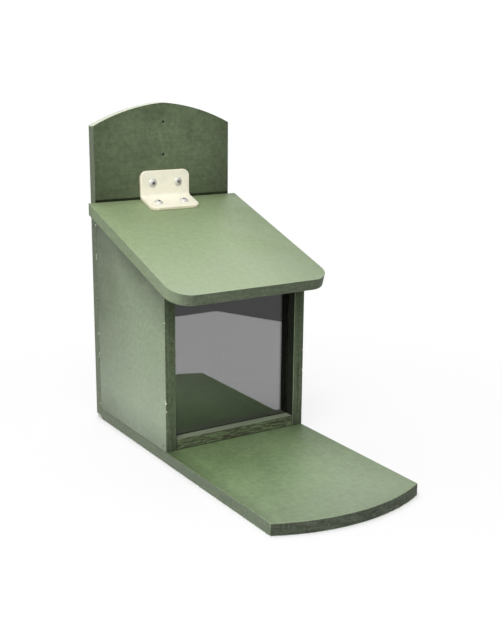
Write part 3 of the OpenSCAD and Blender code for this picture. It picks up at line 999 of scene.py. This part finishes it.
def cross_cutter(head_radius, top):
    """Tapered cross that the driver's recess is cut with: a cube with its four sides drawn out."""
    bm = bmesh.new()
    bmesh.ops.create_cube(bm, size=CROSS_WIDTH)
    sides = [face for face in bm.faces if abs(face.normal.z) < 0.5]
    arm = head_radius * CROSS_SHARE - CROSS_WIDTH / 2
    for wing in bmesh.ops.extrude_discrete_faces(bm, faces=sides)["faces"]:
        bmesh.ops.translate(bm, vec=wing.normal * arm, verts=wing.verts[:])
    bmesh.ops.scale(bm, vec=(1, 1, 2 * CROSS_DEPTH / CROSS_WIDTH), verts=bm.verts[:])
    deep = [vert for vert in bm.verts if vert.co.z > 0]
    bmesh.ops.scale(bm, vec=(CROSS_TAPER, CROSS_TAPER, 1), verts=deep)
    bmesh.ops.translate(bm, vec=(0, 0, top), verts=bm.verts[:])
    face_outward(bm)
    return bm


def carve(bm, cutter):
    """Cuts one mesh out of another and gives the result back as a mesh to work on."""
    carved = put_in_scene("carved", as_mesh(bm, "carved"))
    tool = put_in_scene("cutter", as_mesh(cutter, "cutter"))
    boolean = carved.modifiers.new("cut", "BOOLEAN")
    boolean.operation = "DIFFERENCE"
    boolean.solver = "EXACT"
    boolean.object = tool
    graph = bpy.context.evaluated_depsgraph_get()
    cut = bpy.data.meshes.new_from_object(carved.evaluated_get(graph))
    result = bmesh.new()
    result.from_mesh(cut)
    bpy.data.meshes.remove(cut)
    for thing in (carved, tool):
        mesh = thing.data
        bpy.data.objects.remove(thing)
        bpy.data.meshes.remove(mesh)
    return result


def screw(head, head_radius, top, radius, length, thread):
    """Screw driven along +Z, from the profile of its head: turns it, cuts the cross recess into it, marks the
    recess and adds the thread."""
    shank_end, thread_start, core_start, pitch = thread
    core = CORE_SHARE * radius
    shank = [(radius, shank_end), (core, core_start), (core, length - SCREW_POINT), (0, length)]
    bm = carve(spun(head + shank), cross_cutter(head_radius, top))
    recess = bm.faces.layers.float.new("recess")
    reach = head_radius * CROSS_SHARE
    for face in bm.faces:
        middle = face.calc_center_median()
        in_cross = middle.xy.length < reach and top < middle.z < top + CROSS_DEPTH
        steep = abs(face.normal.z) < 0.75
        bottom = middle.z > top + 0.7 * CROSS_DEPTH and middle.xy.length < reach
        face[recess] = 1.0 if in_cross and (steep or bottom) else 0.0
        face.smooth = not face[recess]
    add_thread(bm, radius, pitch, thread_start, length - 0.6 * SCREW_POINT)
    mesh = as_mesh(bm, "screw_pattern")
    mesh.set_sharp_from_angle(angle=SHARP_ANGLE)
    return mesh


def set_of(pattern, places):
    """Copies of one fastener, each moved to its place, in a single mesh."""
    bm = bmesh.new()
    for place in places:
        start = len(bm.verts)
        bm.from_mesh(pattern)
        bm.verts.ensure_lookup_table()
        bmesh.ops.transform(bm, matrix=place, verts=bm.verts[start:])
    return bm


def driven(point, direction, roll=0.0):
    """Frame of a fastener whose +Z runs along the direction that it is driven in."""
    turn = Vector((0, 0, 1)).rotation_difference(Vector(direction)).to_matrix().to_4x4()
    return Matrix.Translation(point) @ turn @ Matrix.Rotation(roll, 4, "Z")


def plated_metal(name, colour, rough, recess_shade):
    """Plated steel with fine drawing marks and dull patches, and painted shade in its marked recesses."""
    finish, tree, shader = new_finish(name)
    place = object_place(tree)
    scuffs = streaks(tree, place, (900, 900, 900), detail=4.0, twist=0.4)
    bloom = cloud(tree, place, 420.0, 3.0)
    skin = mixed(tree, ramp(tree, bloom, 0.35, 0.7), tinted(colour, 0.82), colour)
    plug(tree, shader, {
        "Base Color": mixed(tree, mark(tree, "recess"), skin, recess_shade),
        "Roughness": ramp(tree, scuffs, 0.3, 0.7, rough - 0.07, rough + 0.1),
        "Normal": bumps(tree, scuffs, 0.15, 0.05 * MM),
        "Metallic": 0.5,
    })
    return finish


# Zinc, and the dark painted shade of its cross recesses.
ZINC, ZINC_RECESS_SHADE = (0.74, 0.73, 0.69), (0.13, 0.13, 0.12)
zinc = plated_metal("zinc_plate", ZINC, 0.6, ZINC_RECESS_SHADE)
dome_radius = (STRAP_HEAD_RADIUS ** 2 + STRAP_HEAD_HEIGHT ** 2) / (2 * STRAP_HEAD_HEIGHT)
dome_turn = math.asin(STRAP_HEAD_RADIUS / dome_radius) / DOME_STEPS
dome = [
    (dome_radius * math.sin(dome_turn * step),
     dome_radius - STRAP_HEAD_HEIGHT - dome_radius * math.cos(dome_turn * step))
    for step in range(DOME_STEPS + 1)
]
dome_pattern = screw(
    dome + [(STRAP_SCREW_RADIUS, 0)], STRAP_HEAD_RADIUS, -STRAP_HEAD_HEIGHT, STRAP_SCREW_RADIUS,
    STRAP_SCREW_LENGTH, STRAP_THREAD
)
UPPER_ROLLS = (0.35, 0.9)
LOWER_ROLLS = (0.2, 1.2)
upper_height = hinge_z + UPPER_LEAF - SCREW_INSET
lower_line = bent(0, strap_length - SCREW_INSET, 0)
lid_inward = Vector((0, math.sin(LID_SLOPE), -math.cos(LID_SLOPE)))
upper_places = [
    driven((x, hinge_y + BEND_INNER, upper_height), (0, 1, 0), roll)
    for x, roll in zip(screw_sides, UPPER_ROLLS)
]
lower_places = [
    driven((x, lower_line.y, lower_line.z), lid_inward, roll) for x, roll in zip(screw_sides, LOWER_ROLLS)
]
add_piece(
    "upper_strap_screws", set_of(dome_pattern, upper_places), zinc, "house", "zinc_screw",
    "strap_screws_upper"
)
add_piece(
    "lower_strap_screws", set_of(dome_pattern, lower_places), zinc, "lid", "zinc_screw",
    "strap_screws_lower"
)


# Board screws: zinc-plated countersunk wood screws that hold the house together from below and behind.
# Two go up into each wall, two from behind into each wall, and two into the floor board's rear edge.
BOARD_SCREW_LENGTH = 30 * MM
BOARD_THREAD = (11 * MM, 11.2 * MM, 11.6 * MM, 1.8 * MM)
HEAD_LAND = 0.25 * MM
ROLL_STEP = 0.37
flat_head = [
    (0, 0), (BOARD_HEAD_RADIUS - HEAD_LAND, 0), (BOARD_HEAD_RADIUS, HEAD_LAND / 2),
    (BOARD_SCREW_RADIUS, BOARD_HEAD_RADIUS - BOARD_SCREW_RADIUS)
]
board_pattern = screw(
    flat_head, BOARD_HEAD_RADIUS, 0, BOARD_SCREW_RADIUS, BOARD_SCREW_LENGTH, BOARD_THREAD
)


def board_screws(name, node_name, spots, direction):
    places = [driven(spot, direction, ROLL_STEP * (turn + 1)) for turn, spot in enumerate(spots)]
    add_piece(name, set_of(board_pattern, places), zinc, "house", "zinc_screw", node_name)


sunk_y = back_rear - HEAD_SINK
for side, word in ((-1, "left"), (1, "right")):
    board_screws(
        word + "_floor_screws", "floor_screws_" + word,
        [(side * screw_line, y, HEAD_SINK) for y in floor_screw_rows], (0, 0, 1)
    )
    board_screws(
        word + "_back_screws", "back_screws_" + word,
        [(side * screw_line, sunk_y, z) for z in back_screw_rows], (0, -1, 0)
    )
rear_spots = [(x, sunk_y, z) for x, z in rear_screw_spots]
board_screws("rear_edge_screws", "floor_rear_screws", rear_spots, (0, -1, 0))


# Sill brads: thin nails of dull steel, driven through the walls into the sill's ends.
# Their small crowned heads lie flush with the paint.
BRAD_LENGTH = 25 * MM
BRAD_RADIUS = 0.8 * MM
BRAD_HEAD_RADIUS = 1.3 * MM
BRAD_HEAD_HEIGHT = 1 * MM
BRAD_POINT = 2.4 * MM
# Dull steel, and a dark painted shade for recesses, which the brads lack.
BRAD_STEEL, BRAD_RECESS_SHADE = (0.16, 0.16, 0.15), (0.05, 0.05, 0.05)

bm = spun([
    (0, 0.06 * MM), (0.55 * BRAD_HEAD_RADIUS, 0.02 * MM), (0.9 * BRAD_HEAD_RADIUS, 0),
    (BRAD_HEAD_RADIUS, 0.12 * MM), (BRAD_HEAD_RADIUS, 0.55 * BRAD_HEAD_HEIGHT),
    (BRAD_RADIUS, BRAD_HEAD_HEIGHT), (BRAD_RADIUS, BRAD_LENGTH - BRAD_POINT), (0, BRAD_LENGTH)
])
bm.faces.layers.float.new("recess")
for face in bm.faces:
    face.smooth = True
brad_pattern = as_mesh(bm, "brad_pattern")
brad_pattern.set_sharp_from_angle(angle=SHARP_ANGLE)
dull_steel = plated_metal("dull_brad_steel", BRAD_STEEL, 0.45, BRAD_RECESS_SHADE)
for side, word in ((-1, "left"), (1, "right")):
    spot = driven((side * house_half, *brad_spot), (-side, 0, 0))
    add_piece(
        word + "_sill_brad", set_of(brad_pattern, [spot]), dull_steel, "house", "brad_steel",
        "sill_brad_" + word
    )


# Studio: a white table top, whose near corner the pane mirrors, a big soft lamp above and behind the house,
# the strongest lamp high at the front left and a weak one low on the same side. The camera sees plain white
# apart from the shadow on the table, and only reflections show the dim room in front of it.
TABLE_CORNER = (0.242, -0.406)
TABLE_RIGHT = (0.290, -0.303)
TABLE_LEFT = (0.150, -0.406)
TABLE_REACH = 2.4
TABLE_DROP = 0.3 * MM
CONTACT_REACH = 6 * MM
DIM_ROOM = 0.22
AMBIENT = 0.20

bm = bmesh.new()
table_parts = (
    (TABLE_LEFT, (TABLE_LEFT[0], -TABLE_REACH), (-TABLE_REACH, -TABLE_REACH), (-TABLE_REACH, TABLE_LEFT[1])),
    (TABLE_CORNER, TABLE_LEFT, (-TABLE_REACH, TABLE_LEFT[1]), (-TABLE_REACH, TABLE_RIGHT[1]), TABLE_RIGHT),
    ((TABLE_REACH, TABLE_RIGHT[1]), TABLE_RIGHT, (-TABLE_REACH, TABLE_RIGHT[1]), (-TABLE_REACH, TABLE_REACH),
     (TABLE_REACH, TABLE_REACH)),
)
for part in table_parts:
    bmesh.ops.contextual_create(bm, geom=[bm.verts.new((x, y, -TABLE_DROP)) for x, y in part])
bmesh.ops.remove_doubles(bm, verts=bm.verts[:], dist=0.1 * MM)
for face in bm.faces:
    if face.normal.z < 0:
        face.normal_flip()
table_mesh = as_mesh(bm, "white_table")
table = put_in_scene("white_table", table_mesh)


def ray_kinds(tree):
    """Whether a ray comes from the camera, and whether it comes from a mirror or through the pane."""
    rays = node(tree, "LightPath").outputs
    return rays["Is Camera Ray"], largest(tree, rays["Is Glossy Ray"], rays["Is Transmission Ray"])


white, tree, shader = new_finish("white_table_top")
plug(tree, shader, {"Base Color": (0.95, 0.95, 0.95, 1), "Roughness": 0.8, "Specular IOR Level": 0.1})
glow = node(tree, "Emission", {"Color": (1, 1, 1, 1), "Strength": 1.0})
camera_ray, mirrored = ray_kinds(tree)
place = object_place(tree)
x, y, _ = axes_of(tree, place)
away = node(tree, "VectorMath", {0: place}, operation="LENGTH").outputs["Value"]
across = size_of(tree, x)
bow = ramp(tree, across, 0.0, house_half)
front_line = plus(tree, times(tree, bow, bow, PLATFORM_ARCH), floor_low.y)
beyond = largest(
    tree, minus(tree, front_line, y), minus(tree, y, back_rear), minus(tree, across, house_half)
)
contact = ramp(tree, beyond, 0.0, CONTACT_REACH, 0.1, 1.0)
seen = times(tree, camera_ray, contact, ramp(tree, away, 0.15, 0.45, 0.78, 1.0))
seen_in_pane = times(tree, mirrored, ramp(tree, away, 0.08, 0.16))
lift = largest(tree, seen, seen_in_pane)
table_skin = node(tree, "MixShader", {0: lift, 1: shader.outputs[0], 2: glow.outputs[0]})
plug(tree, tree.nodes["Material Output"], {"Surface": table_skin.outputs[0]})
table_mesh.materials.append(white)

world = bpy.data.worlds.new("white_studio")
bpy.context.scene.world = world
world.use_nodes = True
tree = world.node_tree
camera_ray, mirrored = ray_kinds(tree)
x, y, z = axes_of(tree, node(tree, "TexCoord").outputs["Generated"])
from_room = minus(tree, times(tree, y, 0.8), times(tree, x, 0.6))
behind = ramp(tree, from_room, -0.15, 0.35, DIM_ROOM, 1.0)
room = largest(tree, behind, ramp(tree, z, 0.60, 0.85))
ambient = times(tree, minus(tree, 1.0, mirrored), AMBIENT)
level = largest(tree, times(tree, mirrored, room), camera_ray, ambient)
plug(tree, tree.nodes["Background"], {"Color": (1, 1, 1, 1), "Strength": level})

# Each lamp's name, place, target, width and power in watts.
LAMPS = (
    ("overhead_softbox", (0.15, 0.8, 1.35), (0, 0, 0.15), 1.6, 9.5),
    ("front_softbox", (-0.6, -0.7, 1.5), (0, 0, 0.15), 1.0, 20.5),
    ("left_softbox", (-0.6, -0.6, 0.30), (0, 0, 0.1), 0.5, 1.8),
)
for name, point, target, width, power in LAMPS:
    light = bpy.data.lights.new(name, "AREA")
    light.shape = "RECTANGLE"
    light.size = width
    light.size_y = width
    light.energy = power
    lamp = put_in_scene(name, light)
    lamp.visible_camera = False
    lamp.location = point
    lamp.rotation_euler = (Vector(target) - Vector(point)).to_track_quat("-Z", "Y").to_euler()


# Camera: stands where the photograph was taken from, in front and to the left of the house and a little above
# its top. Its lens and its slight roll are fitted to the photo's straight edges.
CAMERA_POINT = Vector((-0.45256, -0.71398, 0.33765))
CAMERA_AZIMUTH = math.radians(-32.53)
CAMERA_ELEVATION = math.radians(14.43)
CAMERA_ROLL = math.radians(0.53)
CAMERA_LENS = 58.09
SENSOR = 36.0

camera_data = bpy.data.cameras.new("photo_camera")
camera_data.sensor_width = SENSOR
camera_data.lens = CAMERA_LENS
camera_data.clip_start = 0.01
camera = put_in_scene("photo_camera", camera_data)
back = Vector((
    math.sin(CAMERA_AZIMUTH) * math.cos(CAMERA_ELEVATION),
    -math.cos(CAMERA_AZIMUTH) * math.cos(CAMERA_ELEVATION),
    math.sin(CAMERA_ELEVATION),
))
right = Vector((math.cos(CAMERA_AZIMUTH), math.sin(CAMERA_AZIMUTH), 0))
turned = Matrix((right, back.cross(right), back)).transposed().to_4x4()
camera.matrix_world = Matrix.Translation(CAMERA_POINT) @ turned @ Matrix.Rotation(CAMERA_ROLL, 4, "Z")
bpy.context.scene.camera = camera
bpy.context.scene.view_settings.view_transform = "Standard"
